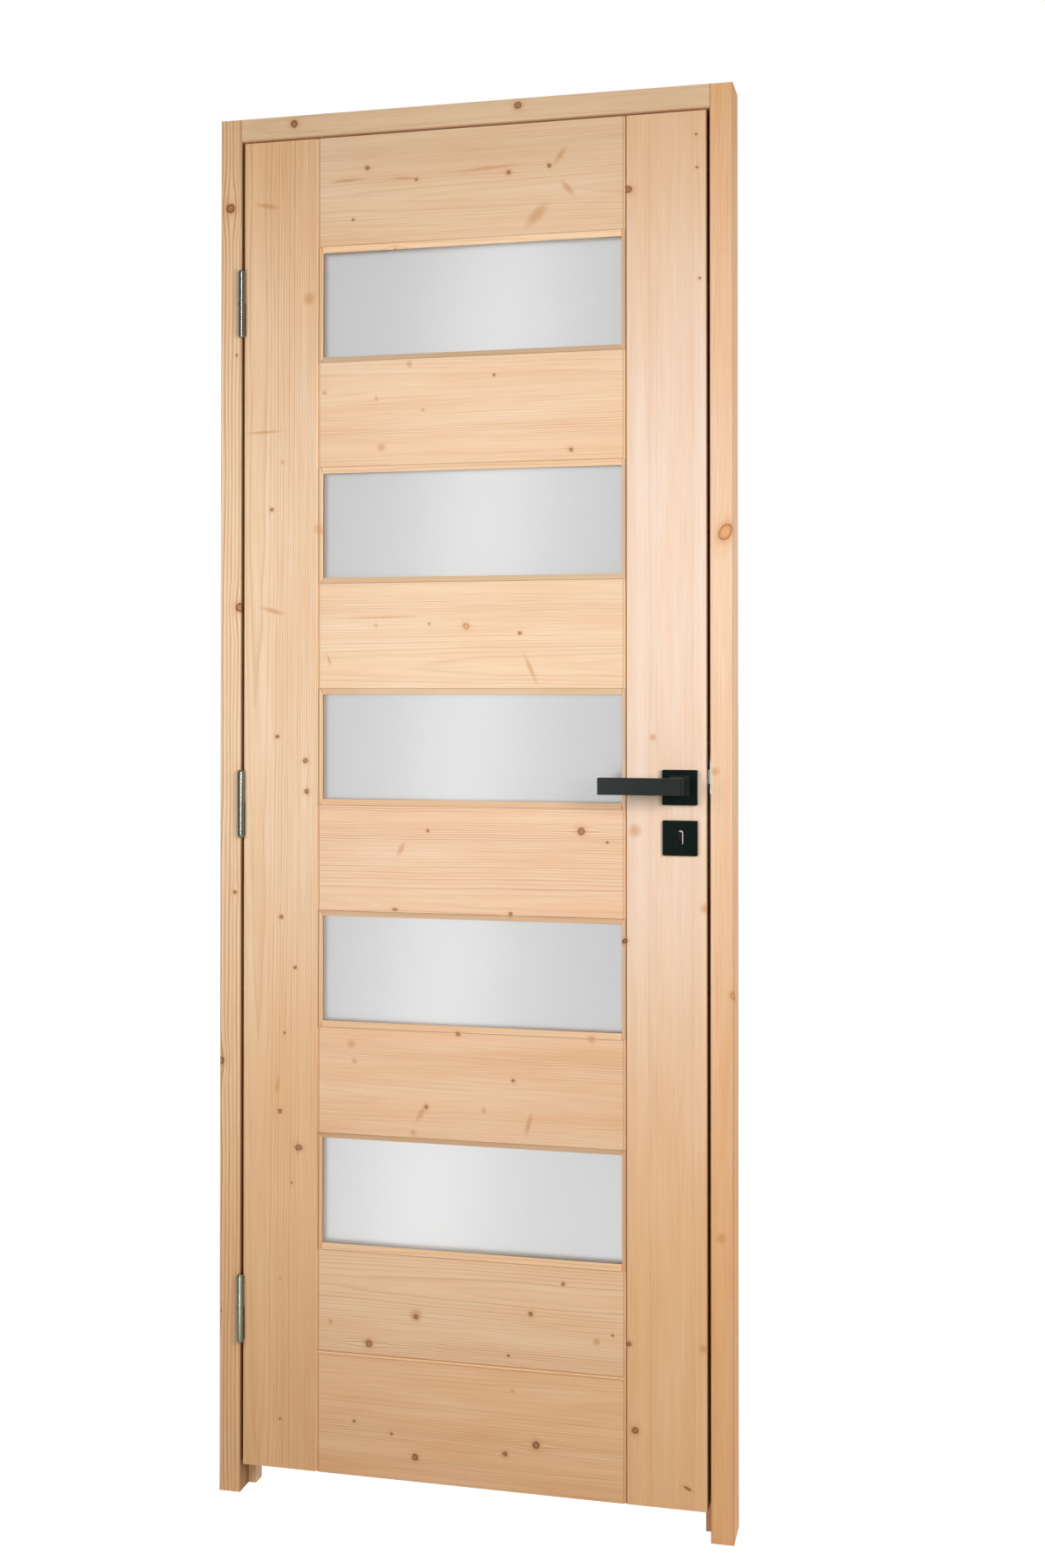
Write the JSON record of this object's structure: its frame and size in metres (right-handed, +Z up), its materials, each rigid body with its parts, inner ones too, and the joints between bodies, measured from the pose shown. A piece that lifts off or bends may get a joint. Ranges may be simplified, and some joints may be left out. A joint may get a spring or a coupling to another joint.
{
  "type": "prehung interior door",
  "caption": "Prehung softwood interior door with frosted glass panes, hung in a rebated frame on lift-off hinges, with a lever handle and mortise lock.",
  "frame": {"origin": "on the outer face of the hinge jamb, at floor level and at the middle of the frame's depth", "axes": "+X across the doorway from the hinge jamb to the lock jamb, +Y through the doorway away from the side that the leaf opens to, +Z up"},
  "size_m": [0.775, 0.145, 2.065],
  "materials": {
    "leaf_spruce": "clear matt lacquer on planed spruce",
    "frame_spruce": "clear matt lacquer on planed spruce",
    "satin_glass": "acid-etched satin float glass",
    "steel": "bright zinc-plated steel",
    "black_metal": "matt black powder coat on cast zinc"
  },
  "bodies": {
    "frame": {"hinge_jamb": "frame_spruce", "lock_jamb": "frame_spruce", "head_jamb": "frame_spruce", "hinge_stop": "frame_spruce", "lock_stop": "frame_spruce", "head_stop": "frame_spruce", "strike_plate": "steel", "hinge_pins": "steel", "bottom_hinge_frame_half": "steel", "middle_hinge_frame_half": "steel", "top_hinge_frame_half": "steel"},
    "leaf": {"hinge_stile": "leaf_spruce", "lock_stile": "leaf_spruce", "top_rail": "leaf_spruce", "middle_rail_1": "leaf_spruce", "middle_rail_2": "leaf_spruce", "middle_rail_3": "leaf_spruce", "middle_rail_4": "leaf_spruce", "lower_rail": "leaf_spruce", "bottom_rail": "leaf_spruce", "glass_pane_1": "satin_glass", "glass_pane_2": "satin_glass", "glass_pane_3": "satin_glass", "glass_pane_4": "satin_glass", "glass_pane_5": "satin_glass", "glazing_bead_1": "leaf_spruce", "glazing_bead_2": "leaf_spruce", "glazing_bead_3": "leaf_spruce", "glazing_bead_4": "leaf_spruce", "glazing_bead_5": "leaf_spruce", "bottom_hinge_leaf_half": "steel", "middle_hinge_leaf_half": "steel", "top_hinge_leaf_half": "steel", "lock_case": "steel", "lock_faceplate": "steel", "latch": "steel", "dead_bolt": "steel", "front_rose": "black_metal", "back_rose": "black_metal", "front_escutcheon": "black_metal", "back_escutcheon": "black_metal"},
    "handle": {"front_lever": "black_metal", "back_lever": "black_metal", "spindle": "steel"}
  },
  "joints": [
    {"name": "leaf_swing", "type": "hinge", "parent": "frame", "child": "leaf", "pos_m": [0.03525, -0.0355, 1.033], "axis": [0, 0, -1], "range_deg": [0, 170]},
    {"name": "lever_turn", "type": "hinge", "parent": "leaf", "child": "handle", "pos_m": [0.6995, -0.0125, 1.065], "axis": [0, -1, 0], "range_deg": [0, 40], "stiffness_Nm_per_rad": 1.2, "springref_deg": -34.38}
  ]
}
